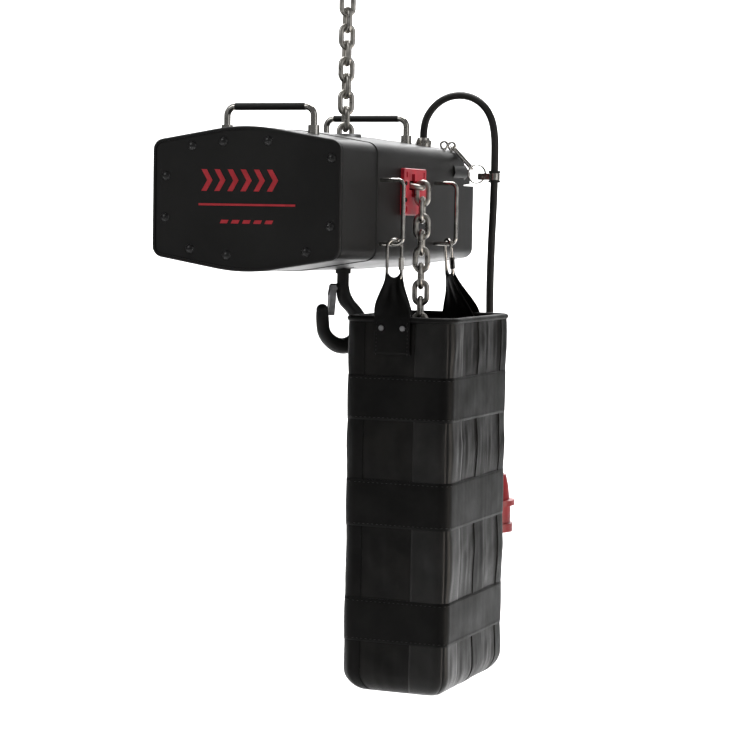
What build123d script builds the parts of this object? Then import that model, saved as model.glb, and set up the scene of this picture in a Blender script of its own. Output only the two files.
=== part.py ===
"""Electric chain hoist: body, motor and gear train, hooks, chain, bag and power cable.

Millimetres, +Z up. The load chain hangs along the Z axis from the saddle of its upper
hook, which is the origin. The long body runs along Y with its electrical cover at -Y,
and the slack chain and its bag are on the +X side.
"""
from build123d import *
from math import acos, atan2, cos, degrees, hypot, pi, radians, sin, sqrt, tan
import os

os.makedirs("parts", exist_ok=True)

# ---------------------------------------------------------------- driving dimensions
CHAIN_PITCH = 24.0
WIRE_R = 3.9
LINK_BEND_R = 9.0
LINK_STRAIGHT = 14.0
POCKET_LINKS = 10
STRAND_LINKS = 15
TAIL_LINKS = 13

BODY_X = -41.0
BODY_Z = -452.0
HALF_W = 142.5
APEX_H = 104.0
SLOPE = 23.6 / 142.5
APEX_R = 270.0
CORNER_R = 16.0
WALL = 6.0
WEB = 8.0
COVER_Y = -256.0
COVER_T = 8.0
GASKET_T = 1.0
FRONT_SEAM = -125.0
REAR_SEAM = 139.0
BACK_Y = 284.0
SIDE_X = BODY_X + HALF_W

MODULE = 1.25
PINION_TEETH = 15
FIRST_GEAR_TEETH = 75
SECOND_GEAR_TEETH = 90
GEAR_BACKLASH = 0.24
MOTOR_X = -70.0
MOTOR_H = 0.0
WHEEL_H = -22.0
MOTOR_SHAFT_R = 8.0
WHEEL_SHAFT_R = 12.0
RUNNING_GAP = 0.05

HANDLE_Y = (-175.0, 179.0)
HANDLE_HALF = 67.0
HANDLE_TOP = 131.0
ROD_R = 4.8
GRIP_R = 5.3

BRACKET_Y = (-111.0, 106.0)
BRACKET_X = 137.0
BRACKET_END = 88.0
BRACKET_TOP = 31.0
BRACKET_BOTTOM = -59.0
BRACKET_R = 3.0

LINK_X = 125.0
QUICK_WIRE_R = 2.4
QUICK_BEND_R = 11.0
QUICK_STRAIGHT = 37.0

BAG_X = 138.0
BAG_WIDTH = 164.0
BAG_DEPTH = 256.0
BAG_TOP = -162.0
BAG_BOTTOM = -702.0

GLAND_X = 41.0
CABLE_Y = 214.0
CABLE_R = 5.8
GLAND_TOP = 103.0

HOOK_R = 9.0
HOOK_SADDLE = 22.7
HOOK_STEM_R = 8.0


def up(height):
    """World Z of a height above the body's own centre line."""
    return BODY_Z + height


def roof(x):
    """Height of the body's sloping roof above its centre line, at world X."""
    return APEX_H - SLOPE * abs(x - BODY_X)


def section_plane(x, y, z):
    """Upright plane across the body: sketch x is world X and sketch y is world Z."""
    return Plane((x, y, z), x_dir=(1, 0, 0), z_dir=(0, -1, 0))


def barrel(inset, y_from, y_to):
    """Solid of the body's barrel-shaped cross-section, drawn in by inset, between two depths."""
    half = HALF_W - inset
    apex = APEX_H - inset * sqrt(1 + SLOPE**2)
    side = apex - SLOPE * half
    with BuildPart() as solid:
        with BuildSketch(section_plane(BODY_X, y_from, BODY_Z)) as outline:
            with BuildLine():
                Polyline(
                    (-half, side), (0, apex), (half, side),
                    (half, -side), (0, -apex), (-half, -side), close=True,
                )
            make_face()
            by_x = outline.vertices().group_by(Axis.X)
            fillet(by_x[0] + by_x[-1], max(CORNER_R - inset, 3.0))
            fillet(outline.vertices().filter_by(lambda v: abs(v.X) < 1.0), APEX_R - inset)
        extrude(amount=y_from - y_to)
    return solid.part


def rod_y(x, z, radius, y_from, y_to):
    """Round bar along Y, as a loose solid."""
    with BuildPart() as bar:
        with BuildSketch(section_plane(x, y_from, z)):
            Circle(radius)
        extrude(amount=y_from - y_to)
    return bar.part


def save(piece, label):
    """Label a finished piece and write its STEP file."""
    piece.label = label
    export_step(piece, f"parts/{label}.step")


# ---------------------------------------------------------------- chain geometry
FLAT_HALF = LINK_STRAIGHT / 2 + LINK_BEND_R
UPRIGHT_HALF = CHAIN_PITCH - FLAT_HALF
pocket_turn = pi / POCKET_LINKS * 2
flat_angle = atan2(FLAT_HALF * sin(pocket_turn), UPRIGHT_HALF + FLAT_HALF * cos(pocket_turn))
WHEEL_R = FLAT_HALF / sin(flat_angle)
WHEEL_X = WHEEL_R * cos(flat_angle)
UPRIGHT_X = sqrt(WHEEL_R**2 - UPRIGHT_HALF**2)


def link_solid():
    """One welded link, its long axis along Z and its width along Y."""
    with BuildPart() as link:
        with BuildLine(Plane.YZ) as loop:
            half = LINK_STRAIGHT / 2
            Line((LINK_BEND_R, -half), (LINK_BEND_R, half))
            ThreePointArc((LINK_BEND_R, half), (0, half + LINK_BEND_R), (-LINK_BEND_R, half))
            Line((-LINK_BEND_R, half), (-LINK_BEND_R, -half))
            ThreePointArc((-LINK_BEND_R, -half), (0, -half - LINK_BEND_R), (LINK_BEND_R, -half))
        with BuildSketch(Plane((0, LINK_BEND_R, -half), z_dir=(0, 0, 1))):
            Circle(WIRE_R)
        sweep(path=loop.wires()[0])
    return link.part


LINK = link_solid()


def place_link(x, height, lean, twist):
    """A link whose long axis leans from +Z towards +X by lean degrees, twisted about itself."""
    return Location((x, 0, up(height))) * Rotation(0, lean, 0) * Rotation(0, 0, twist)


def link_group(places):
    """Loose links at the given places, as one group of solids."""
    with BuildPart() as group:
        with Locations(*places):
            add(LINK)
    return group.part


# The strand rises from the wheel's tangent point, and above the wheel it twists to 45 degrees.
# Its first link lies in a pocket, so it belongs to the chain on the wheel.
strand_places = []
for number in range(1, STRAND_LINKS):
    flat_turn = 0 if number % 2 == 0 else 90
    drift = min(max(number - 2, 0) * 9.0, 45.0)
    strand_places.append(place_link(0, WHEEL_H + number * CHAIN_PITCH, 0, flat_turn + drift))
lifting_chain = link_group(strand_places)
save(lifting_chain, "lifting_chain")

# Half of the wheel is wrapped, then three links turn out to the side guide. A flat link turns
# about the middles of its own bows, which is where its upright neighbours hinge too.
WRAP_LINKS = 5
wheel_places = [place_link(0, WHEEL_H, 0, 0)]
for number in range(1, WRAP_LINKS + 1):
    turn = number * 360.0 / POCKET_LINKS
    reach = UPRIGHT_X if number % 2 else WHEEL_X
    x = WHEEL_X - reach * cos(radians(turn))
    height = WHEEL_H - reach * sin(radians(turn))
    wheel_places.append(place_link(x, height, -turn, 90 if number % 2 else 0))
joint_x = WHEEL_X + UPRIGHT_X
joint_h = WHEEL_H + UPRIGHT_HALF
OUTLET_LEANS = (10.0, 50.0, 100.0)
for number, lean in enumerate(OUTLET_LEANS):
    half = UPRIGHT_HALF if number % 2 else FLAT_HALF
    reach_x = sin(radians(lean)) * half
    reach_h = cos(radians(lean)) * half
    twist = 90 if number % 2 else 0
    wheel_places.append(place_link(joint_x + reach_x, joint_h + reach_h, lean, twist))
    joint_x += 2 * reach_x
    joint_h += 2 * reach_h
wheel_chain = link_group(wheel_places)
save(wheel_chain, "wheel_chain")

# The first hanging link rests over the outlet link's bow, and the rest hang below it.
TAIL_TURN = 12.0
TAIL_X = joint_x
tail_h = joint_h - UPRIGHT_HALF - 0.1
tail_places = [place_link(TAIL_X, tail_h, 0, 90)]
for number in range(1, TAIL_LINKS):
    turn = TAIL_TURN + (0 if number % 2 else 90)
    tail_places.append(place_link(TAIL_X, tail_h - number * CHAIN_PITCH, 0, turn))
tail_chain = link_group(tail_places)
save(tail_chain, "tail_chain")

# ---------------------------------------------------------------- shaft centres
first_centres = MODULE * (PINION_TEETH + FIRST_GEAR_TEETH) / 2
second_centres = MODULE * (PINION_TEETH + SECOND_GEAR_TEETH) / 2
span = hypot(WHEEL_X - MOTOR_X, WHEEL_H - MOTOR_H)
along = (first_centres**2 - second_centres**2 + span**2) / (2 * span)
aside = sqrt(first_centres**2 - along**2)
unit_x = (WHEEL_X - MOTOR_X) / span
unit_h = (WHEEL_H - MOTOR_H) / span
MIDDLE_X = MOTOR_X + along * unit_x - aside * unit_h
MIDDLE_H = MOTOR_H + along * unit_h + aside * unit_x
MIDDLE_SHAFT_R = 6.0
first_line = degrees(atan2(MIDDLE_H - MOTOR_H, MIDDLE_X - MOTOR_X))
second_line = degrees(atan2(WHEEL_H - MIDDLE_H, WHEEL_X - MIDDLE_X))

# ---------------------------------------------------------------- housings
PLATE_Y = 9.0
PLATE_H = 16.0
PLATE_WIDTH = 88.0
PLATE_TALL = 68.0
PLATE_T = 6.0
OUTLET_H = 25.5
INLET_R = 24.0
YOKE_R = 17.0
BEARING_R = 16.0
BOLT_R = 4.0
BOLT_SPOTS = [(side_x * 121.0, side_h * 64.0) for side_x in (-1, 1) for side_h in (-1, 1)]
SCREW_SPOTS = [
    (-82, 73), (-34, 79), (34, 80), (129, 57), (128, -36),
    (93, -71), (-27, -78), (-84, -70), (-123, -27), (-122, 31),
]
RIM = 4.5
RIM_DEPTH = 1.6
PANEL_Y = COVER_Y + RIM_DEPTH
SHELL_Y = COVER_Y + COVER_T + GASKET_T

with BuildPart() as front_cover:
    add(barrel(0, COVER_Y, COVER_Y + COVER_T))
    fillet(front_cover.faces().sort_by(Axis.Y)[0].edges(), 2.4)
    add(barrel(RIM, COVER_Y, PANEL_Y), mode=Mode.SUBTRACT)
    with Locations(*[section_plane(BODY_X + x, PANEL_Y, up(h)) for x, h in SCREW_SPOTS]):
        Hole(2.6)
save(front_cover.part, "front_cover")

with BuildPart() as cover_gasket:
    add(barrel(1.0, COVER_Y + COVER_T, SHELL_Y))
    add(barrel(WALL - 0.5, COVER_Y + COVER_T, SHELL_Y), mode=Mode.SUBTRACT)
save(cover_gasket.part, "cover_gasket")

DOME_R = 7.4
DOME_SUNK = 3.2
with BuildPart() as cover_screws:
    with Locations(*[(BODY_X + x, PANEL_Y + DOME_SUNK, up(h)) for x, h in SCREW_SPOTS]):
        Sphere(DOME_R)
    with Locations((BODY_X, PANEL_Y + 10, BODY_Z)):
        Box(2 * HALF_W, 20, 2 * APEX_H, mode=Mode.SUBTRACT)
    for x, h in SCREW_SPOTS:
        add(rod_y(BODY_X + x, up(h), 2.5, PANEL_Y - 1, PANEL_Y + COVER_T - RIM_DEPTH))
save(cover_screws.part, "cover_screws")


def leg_places(y):
    """Where the two legs of the carrying handle at depth y go through the roof."""
    return [(BODY_X - HANDLE_HALF, y, up(70)), (BODY_X + HANDLE_HALF, y, up(70))]


with BuildPart() as front_housing:
    add(barrel(0, SHELL_Y, FRONT_SEAM))
    chamfer(front_housing.faces().sort_by(Axis.Y)[-1].edges(), 1.2)
    add(barrel(WALL, SHELL_Y, FRONT_SEAM), mode=Mode.SUBTRACT)
    with Locations(*leg_places(HANDLE_Y[0])):
        Cylinder(ROD_R + 0.1, 60, align=(Align.CENTER, Align.CENTER, Align.MIN), mode=Mode.SUBTRACT)
save(front_housing.part, "front_housing")

MID_PROUD = 1.2
with BuildPart() as mid_housing:
    add(barrel(-MID_PROUD, FRONT_SEAM, REAR_SEAM))
    chamfer(mid_housing.faces().sort_by(Axis.Y)[0].edges(), 1.8)
    chamfer(mid_housing.faces().sort_by(Axis.Y)[-1].edges(), 1.8)
    add(barrel(WALL, FRONT_SEAM + WEB, REAR_SEAM - WEB), mode=Mode.SUBTRACT)
    with Locations((0, 0, up(70))):
        Cylinder(INLET_R, 60, align=(Align.CENTER, Align.CENTER, Align.MIN), mode=Mode.SUBTRACT)
    with Locations((0, 0, up(-70))):
        Cylinder(YOKE_R, 60, align=(Align.CENTER, Align.CENTER, Align.MAX), mode=Mode.SUBTRACT)
    with Locations((SIDE_X, PLATE_Y, up(PLATE_H))):
        Box(40, PLATE_WIDTH - 22, PLATE_TALL - 18, mode=Mode.SUBTRACT)
    with Locations(*[(SIDE_X, y, up(h)) for y in BRACKET_Y for h in (BRACKET_TOP, BRACKET_BOTTOM)]):
        Cylinder(BRACKET_R + 0.1, 30, rotation=(0, 90, 0), mode=Mode.SUBTRACT)
    for shaft_x, shaft_h in ((MOTOR_X, MOTOR_H), (WHEEL_X, WHEEL_H)):
        for web_y in (FRONT_SEAM, REAR_SEAM - WEB):
            add(rod_y(shaft_x, up(shaft_h), BEARING_R, web_y - 1, web_y + WEB + 1), mode=Mode.SUBTRACT)
    for x, h in BOLT_SPOTS:
        add(rod_y(BODY_X + x, up(h), BOLT_R + 0.1, FRONT_SEAM - 1, REAR_SEAM + 1), mode=Mode.SUBTRACT)
    add(rod_y(MIDDLE_X, up(MIDDLE_H), MIDDLE_SHAFT_R + RUNNING_GAP, REAR_SEAM - WEB - 1, REAR_SEAM + 1),
        mode=Mode.SUBTRACT)
save(mid_housing.part, "mid_housing")


# ---------------------------------------------------------------- gear train
def gear_solid(x, h, teeth, phase, y_from, y_to):
    """Spur gear with involute flanks; one tooth is centred at phase degrees from +X."""
    pressure = radians(20)
    pitch_r = MODULE * teeth / 2
    base_r = pitch_r * cos(pressure)
    tip_r = pitch_r + 0.8 * MODULE
    root_r = pitch_r - 1.25 * MODULE
    half_pitch_angle = pi / (2 * teeth) - GEAR_BACKLASH / (2 * pitch_r)

    def half_width(radius):
        """Half of the tooth's angle at a radius."""
        turned = acos(min(base_r / radius, 1.0))
        return half_pitch_angle + (tan(pressure) - pressure) - (tan(turned) - turned)

    start_r = max(base_r, root_r)
    radii = [start_r, (start_r + pitch_r) / 2, pitch_r, tip_r]
    points = []
    for tooth in range(teeth):
        middle = radians(phase) + tooth * 2 * pi / teeth
        flank = [(r, half_width(r)) for r in radii]
        if root_r < base_r:
            flank = [(root_r, half_width(start_r))] + flank
        for r, angle in flank:
            points.append((r * cos(middle - angle), r * sin(middle - angle)))
        for r, angle in reversed(flank):
            points.append((r * cos(middle + angle), r * sin(middle + angle)))
    with BuildPart() as gear:
        with BuildSketch(section_plane(x, y_from, up(h))):
            with BuildLine():
                Polyline(*points, close=True)
            make_face()
        extrude(amount=y_from - y_to)
    return gear.part


FIRST_STAGE = (152.0, 166.0)
SECOND_STAGE = (174.0, 194.0)
with BuildPart() as motor_rotor:
    add(rod_y(MOTOR_X, up(MOTOR_H), MOTOR_SHAFT_R, -140, 150))
    add(rod_y(MOTOR_X, up(MOTOR_H), 36.0, -104, -42))
    add(gear_solid(MOTOR_X, MOTOR_H, PINION_TEETH, first_line, 148.0, 168.0))
save(motor_rotor.part, "motor_rotor")

with BuildPart() as intermediate_gear:
    add(rod_y(MIDDLE_X, up(MIDDLE_H), MIDDLE_SHAFT_R, REAR_SEAM - WEB + 1, 274))
    add(gear_solid(MIDDLE_X, MIDDLE_H, PINION_TEETH, second_line, 166.0, 196.0))
    add(gear_solid(MIDDLE_X, MIDDLE_H, FIRST_GEAR_TEETH, first_line + 180 + 180 / FIRST_GEAR_TEETH,
                   *FIRST_STAGE))
save(intermediate_gear.part, "intermediate_gear")

with BuildPart() as wheel_gear:
    add(gear_solid(WHEEL_X, WHEEL_H, SECOND_GEAR_TEETH, second_line + 180 + 180 / SECOND_GEAR_TEETH,
                   *SECOND_STAGE))
    add(rod_y(WHEEL_X, up(WHEEL_H), 20.0, SECOND_STAGE[0] - 8, SECOND_STAGE[1] + 4))
    add(rod_y(WHEEL_X, up(WHEEL_H), WHEEL_SHAFT_R, 150, 210), mode=Mode.SUBTRACT)
    for spoke in range(6):
        turn = radians(60 * spoke + 30)
        hole_x = WHEEL_X + 37 * cos(turn)
        hole_z = up(WHEEL_H + 37 * sin(turn))
        add(rod_y(hole_x, hole_z, 9.0, SECOND_STAGE[0] - 1, SECOND_STAGE[1] + 1), mode=Mode.SUBTRACT)
save(wheel_gear.part, "wheel_gear")

WHEEL_HALF = 18.0
POCKET_FLOOR = WHEEL_X - WIRE_R - 0.5
with BuildPart() as load_wheel:
    add(rod_y(WHEEL_X, up(WHEEL_H), 42.0, -WHEEL_HALF, WHEEL_HALF))
    with BuildPart(mode=Mode.PRIVATE) as groove:
        add(rod_y(WHEEL_X, up(WHEEL_H), 60.0, -4.8, 4.8))
        add(rod_y(WHEEL_X, up(WHEEL_H), 23.0, -5, 5), mode=Mode.SUBTRACT)
    add(groove.part, mode=Mode.SUBTRACT)
    for pocket in range(POCKET_LINKS // 2):
        turn = 180 + pocket * 72
        reach = POCKET_FLOOR + 15
        pocket_x = WHEEL_X + reach * cos(radians(turn))
        pocket_z = up(WHEEL_H + reach * sin(radians(turn)))
        with Locations(Location((pocket_x, 0, pocket_z)) * Rotation(0, -turn, 0)):
            Box(30, 27.4, 41.4, mode=Mode.SUBTRACT)
    add(rod_y(WHEEL_X, up(WHEEL_H), WHEEL_SHAFT_R, FRONT_SEAM + 1, 198))
save(load_wheel.part, "load_wheel")

with BuildPart() as bearings:
    for shaft_x, shaft_h, shaft_r in ((MOTOR_X, MOTOR_H, MOTOR_SHAFT_R), (WHEEL_X, WHEEL_H, WHEEL_SHAFT_R)):
        for web_y in (FRONT_SEAM, REAR_SEAM - WEB):
            add(rod_y(shaft_x, up(shaft_h), BEARING_R - 0.02, web_y, web_y + WEB))
            add(rod_y(shaft_x, up(shaft_h), shaft_r + RUNNING_GAP, web_y - 1, web_y + WEB + 1),
                mode=Mode.SUBTRACT)
save(bearings.part, "bearings")

# ---------------------------------------------------------------- gearbox end
EYE_SPOTS = ((88.0, 180.0), (88.0, 214.0))
EYE_R = 5.5
EYE_LIFT = 8.2
EYE_SHANK_R = 2.4
SCOOP_Y = 235.0
SCOOP_DEPTH = 30.0
BULGE_R = 16.0
BULGE_H = 51.0
with BuildPart() as rear_housing:
    add(barrel(0, REAR_SEAM, BACK_Y))
    chamfer(rear_housing.faces().sort_by(Axis.Y)[0].edges(), 1.2)
    fillet(rear_housing.faces().sort_by(Axis.Y)[-1].edges(), 5.0)
    for side in (-1, 1):
        with BuildSketch(Plane((BODY_X + side * (HALF_W - SCOOP_DEPTH), 0, BODY_Z), x_dir=(0, 1, 0),
                               z_dir=(side * 1, 0, 0))):
            with BuildLine():
                Polyline((SCOOP_Y, side * 30), (SCOOP_Y, side * 100), (BACK_Y + 1, side * 100),
                         (BACK_Y + 1, side * 30), close=True)
            make_face()
        extrude(amount=SCOOP_DEPTH + 1, mode=Mode.SUBTRACT)
        ramp_x = BODY_X + side * (HALF_W - SCOOP_DEPTH)
        with BuildSketch(Plane((ramp_x, 0, BODY_Z), x_dir=(0, 1, 0), z_dir=(side * 1, 0, 0))):
            with BuildLine():
                Polyline((SCOOP_Y - 4, side * 30), (SCOOP_Y - 4, side * 75), (BACK_Y - 4, side * 54),
                         (BACK_Y - 4, side * 30), close=True)
            make_face()
        extrude(amount=SCOOP_DEPTH - 5, taper=8)
        boss_x = BODY_X + side * (HALF_W - BULGE_R + 3)
        add(rod_y(boss_x, up(BULGE_H), BULGE_R, 188, 242))
        with Locations((boss_x, 242, up(BULGE_H))):
            Sphere(BULGE_R)
    add(barrel(WALL, REAR_SEAM, SCOOP_Y - 6), mode=Mode.SUBTRACT)
    add(barrel(38.0, SCOOP_Y - 8, BACK_Y - WEB), mode=Mode.SUBTRACT)
    add(rod_y(MIDDLE_X, up(MIDDLE_H), 13.0, 262, BACK_Y - WEB))
    add(rod_y(MIDDLE_X, up(MIDDLE_H), MIDDLE_SHAFT_R + RUNNING_GAP, 255, 275), mode=Mode.SUBTRACT)
    with Locations(*leg_places(HANDLE_Y[1])):
        Cylinder(ROD_R + 0.1, 60, align=(Align.CENTER, Align.CENTER, Align.MIN), mode=Mode.SUBTRACT)
    with Locations((GLAND_X, CABLE_Y, up(60))):
        Cylinder(8.1, 60, align=(Align.CENTER, Align.CENTER, Align.MIN), mode=Mode.SUBTRACT)
    with Locations(*[(x, y, up(roof(x) - 14)) for x, y in EYE_SPOTS]):
        Cylinder(EYE_SHANK_R, 30, align=(Align.CENTER, Align.CENTER, Align.MIN), mode=Mode.SUBTRACT)
save(rear_housing.part, "rear_housing")

with BuildPart() as tie_bolts:
    for x, h in BOLT_SPOTS:
        add(rod_y(BODY_X + x, up(h), BOLT_R, FRONT_SEAM, REAR_SEAM + 6))
        for y_from, y_to in ((FRONT_SEAM - 6, FRONT_SEAM), (REAR_SEAM, REAR_SEAM + 6)):
            with BuildSketch(section_plane(BODY_X + x, y_from, up(h))):
                RegularPolygon(6.5, 6)
            extrude(amount=y_from - y_to)
save(tie_bolts.part, "tie_bolts")

# ---------------------------------------------------------------- motor, brake and electrics
with BuildPart() as motor_stator:
    add(rod_y(MOTOR_X, up(MOTOR_H), 60.0, FRONT_SEAM + WEB, -34))
    add(rod_y(MOTOR_X, up(MOTOR_H), 36.5, FRONT_SEAM + WEB - 1, -33), mode=Mode.SUBTRACT)
    for rib in range(16):
        turn = radians(rib * 22.5)
        with Locations(Location((MOTOR_X + 60.5 * cos(turn), -74, up(MOTOR_H + 60.5 * sin(turn))))
                       * Rotation(0, -degrees(turn), 0)):
            Box(5, 70, 3)
save(motor_stator.part, "motor_stator")

with BuildPart() as brake_disc:
    add(rod_y(MOTOR_X, up(MOTOR_H), 42.0, -131.6, -127.6))
    add(rod_y(MOTOR_X, up(MOTOR_H), 12.0, -134, -127))
    add(rod_y(MOTOR_X, up(MOTOR_H), MOTOR_SHAFT_R, -140, -120), mode=Mode.SUBTRACT)
save(brake_disc.part, "brake_disc")

with BuildPart() as brake_armature:
    add(rod_y(MOTOR_X, up(MOTOR_H), 44.0, -136.0, -132.0))
    add(rod_y(MOTOR_X, up(MOTOR_H), 14.0, -137, -131), mode=Mode.SUBTRACT)
save(brake_armature.part, "brake_armature")

with BuildPart() as brake_coil:
    add(rod_y(MOTOR_X, up(MOTOR_H), 50.0, -164, -137))
    add(rod_y(MOTOR_X, up(MOTOR_H), 14.0, -165, -136), mode=Mode.SUBTRACT)
    for stud in range(3):
        turn = radians(90 + 120 * stud)
        stud_x = MOTOR_X + 50 * cos(turn)
        stud_z = up(MOTOR_H + 50 * sin(turn))
        add(rod_y(stud_x, stud_z, 7.0, -164, -137))
        add(rod_y(stud_x, stud_z, 3.0, -137, FRONT_SEAM))
save(brake_coil.part, "brake_coil")

PANEL_STEEL_Y = -186.0
with BuildPart() as electrics_plate:
    with BuildSketch(section_plane(BODY_X, PANEL_STEEL_Y, BODY_Z)):
        RectangleRounded(236, 130, 6)
    extrude(amount=-2)
    for x, h in ((-108, -50), (108, -50), (-108, 50), (108, 50)):
        add(rod_y(BODY_X + x, up(h), 5.0, PANEL_STEEL_Y + 2, FRONT_SEAM))
save(electrics_plate.part, "electrics_plate")

with BuildPart() as control_board:
    with BuildSketch(section_plane(BODY_X - 52, PANEL_STEEL_Y - 10, BODY_Z)):
        RectangleRounded(112, 104, 3)
    extrude(amount=1.6)
    for x, h in ((-46, -44), (46, -44), (-46, 44), (46, 44)):
        add(rod_y(BODY_X - 52 + x, up(h), 3.0, PANEL_STEEL_Y - 10, PANEL_STEEL_Y))
    chip_spots = [(BODY_X - 52 + x, PANEL_STEEL_Y - 18.6, up(h)) for x in (-32, -8, 16) for h in (-24, 10)]
    with Locations(*chip_spots):
        Box(18, 14, 26)
save(control_board.part, "control_board")

with BuildPart() as contactors:
    with Locations(*[(BODY_X + x, PANEL_STEEL_Y - 21, up(10)) for x in (32, 82)]):
        Box(44, 42, 62)
    with Locations(*[(BODY_X + x, PANEL_STEEL_Y - 46, up(10)) for x in (32, 82)]):
        Box(30, 8, 30)
    with Locations((BODY_X + 57, PANEL_STEEL_Y - 9, up(-46))):
        Box(96, 18, 20)
save(contactors.part, "contactors")

# ---------------------------------------------------------------- chain guides
PLATE_SCREWS = [(SIDE_X + MID_PROUD, PLATE_Y + y, up(PLATE_H + h)) for y in (-39, 39) for h in (-12, 12)]
with BuildPart() as outlet_screws:
    with Locations(*PLATE_SCREWS):
        Cylinder(3.0, PLATE_T + 1.6, rotation=(0, 90, 0), align=(Align.CENTER, Align.CENTER, Align.MIN))
save(outlet_screws.part, "outlet_screws")

with BuildPart() as outlet_guide:
    with BuildSketch(Plane((SIDE_X + MID_PROUD, PLATE_Y, up(PLATE_H)), x_dir=(0, 1, 0), z_dir=(1, 0, 0))):
        RectangleRounded(PLATE_WIDTH, PLATE_TALL, 3)
        with Locations((-PLATE_Y, OUTLET_H - PLATE_H)):
            Rectangle(31, 13, mode=Mode.SUBTRACT)
            Rectangle(12, 33, mode=Mode.SUBTRACT)
        with Locations((27, 12), (34, 25), (-34, 25), (-34, -25), (34, -25)):
            SlotOverall(9, 4, rotation=90, mode=Mode.SUBTRACT)
    extrude(amount=PLATE_T)
    chamfer(outlet_guide.faces().sort_by(Axis.X)[-1].outer_wire().edges(), 1.0)
    with Locations(*PLATE_SCREWS):
        Cylinder(3.0, 30, rotation=(0, 90, 0), mode=Mode.SUBTRACT)
save(outlet_guide.part, "outlet_guide")

with BuildPart() as inlet_guide:
    with BuildSketch(Plane.XY.offset(up(74))):
        Circle(INLET_R - 0.1)
        Circle(18.5, mode=Mode.SUBTRACT)
    extrude(amount=roof(0) + 2.5 - 74)
    with BuildSketch(Plane.XY.offset(up(70))):
        Circle(INLET_R + 5)
        Circle(18.5, mode=Mode.SUBTRACT)
    extrude(amount=4)
save(inlet_guide.part, "inlet_guide")

# ---------------------------------------------------------------- carrying handles
with BuildPart() as handle_bars:
    for y in HANDLE_Y:
        with BuildLine() as path:
            FilletPolyline(
                (BODY_X - HANDLE_HALF, y, up(80)), (BODY_X - HANDLE_HALF, y, up(HANDLE_TOP)),
                (BODY_X + HANDLE_HALF, y, up(HANDLE_TOP)), (BODY_X + HANDLE_HALF, y, up(80)), radius=13,
            )
        with BuildSketch(Plane((BODY_X - HANDLE_HALF, y, up(80)), z_dir=(0, 0, 1))):
            Circle(ROD_R)
        sweep(path=path.wires()[0])
save(handle_bars.part, "handle_bars")

GRIP_LONG = 108.0
with BuildPart() as handle_grips:
    with Locations(*[(BODY_X, y, up(HANDLE_TOP)) for y in HANDLE_Y]):
        Cylinder(GRIP_R, GRIP_LONG, rotation=(0, 90, 0))
        Cylinder(ROD_R + 0.02, GRIP_LONG, rotation=(0, 90, 0), mode=Mode.SUBTRACT)
save(handle_grips.part, "handle_grips")

with BuildPart() as handle_collars:
    with Locations(*[(x, y, up(84)) for y in HANDLE_Y for x in (BODY_X - HANDLE_HALF, BODY_X + HANDLE_HALF)]):
        Cylinder(8.2, 21, align=(Align.CENTER, Align.CENTER, Align.MIN))
        Cylinder(ROD_R + 0.02, 30, align=(Align.CENTER, Align.CENTER, Align.MIN), mode=Mode.SUBTRACT)
    add(barrel(0, COVER_Y, BACK_Y), mode=Mode.SUBTRACT)
save(handle_collars.part, "handle_collars")

# ---------------------------------------------------------------- bag brackets and quick links
bracket_names = ("front_bag_bracket", "rear_bag_bracket")
for y, name in zip(BRACKET_Y, bracket_names):
    with BuildPart() as bracket:
        with BuildLine() as path:
            FilletPolyline(
                (BRACKET_END, y, up(BRACKET_TOP)), (BRACKET_X, y, up(BRACKET_TOP)),
                (BRACKET_X, y, up(BRACKET_BOTTOM)), (BRACKET_END, y, up(BRACKET_BOTTOM)), radius=9,
            )
        with BuildSketch(Plane((BRACKET_END, y, up(BRACKET_TOP)), z_dir=(1, 0, 0))):
            Circle(BRACKET_R)
        sweep(path=path.wires()[0])
    save(bracket.part, name)

with BuildPart() as bracket_nuts:
    for y in BRACKET_Y:
        for h in (BRACKET_TOP, BRACKET_BOTTOM):
            with BuildSketch(Plane((SIDE_X - WALL, y, up(h)), z_dir=(-1, 0, 0))):
                RegularPolygon(6, 6)
                Circle(BRACKET_R + 0.02, mode=Mode.SUBTRACT)
            extrude(amount=5)
save(bracket_nuts.part, "bracket_nuts")

QUICK_GAP = 0.9
QUICK_TOP = BRACKET_BOTTOM + BRACKET_R + QUICK_WIRE_R + QUICK_GAP
SLEEVE_R = 4.4
SLEEVE_LONG = 17.0


def quick_link(turn, tilt, y):
    """Oval link hung over a bracket, and the sleeve that closes its limb, in place."""
    half = QUICK_STRAIGHT / 2
    with BuildPart() as oval:
        with BuildLine(Plane.XZ) as loop:
            Line((QUICK_BEND_R, -half), (QUICK_BEND_R, half))
            ThreePointArc((QUICK_BEND_R, half), (0, half + QUICK_BEND_R), (-QUICK_BEND_R, half))
            Line((-QUICK_BEND_R, half), (-QUICK_BEND_R, -half))
            ThreePointArc((-QUICK_BEND_R, -half), (0, -half - QUICK_BEND_R), (QUICK_BEND_R, -half))
        with BuildSketch(Plane((QUICK_BEND_R, 0, -half), z_dir=(0, 0, 1))):
            Circle(QUICK_WIRE_R)
        sweep(path=loop.wires()[0])
    with BuildPart() as sleeve:
        with BuildSketch(Plane((QUICK_BEND_R, 0, 4 - SLEEVE_LONG), z_dir=(0, 0, 1))):
            RegularPolygon(SLEEVE_R, 6)
            Circle(QUICK_WIRE_R + RUNNING_GAP, mode=Mode.SUBTRACT)
        extrude(amount=SLEEVE_LONG)
    pivot = Location((LINK_X, y, up(BRACKET_BOTTOM))) * Rotation(tilt, 0, 0) * Rotation(0, 0, turn)
    hang = pivot * Location((0, 0, QUICK_TOP - BRACKET_BOTTOM - half - QUICK_BEND_R))
    return oval.part.moved(hang), sleeve.part.moved(hang)


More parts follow.
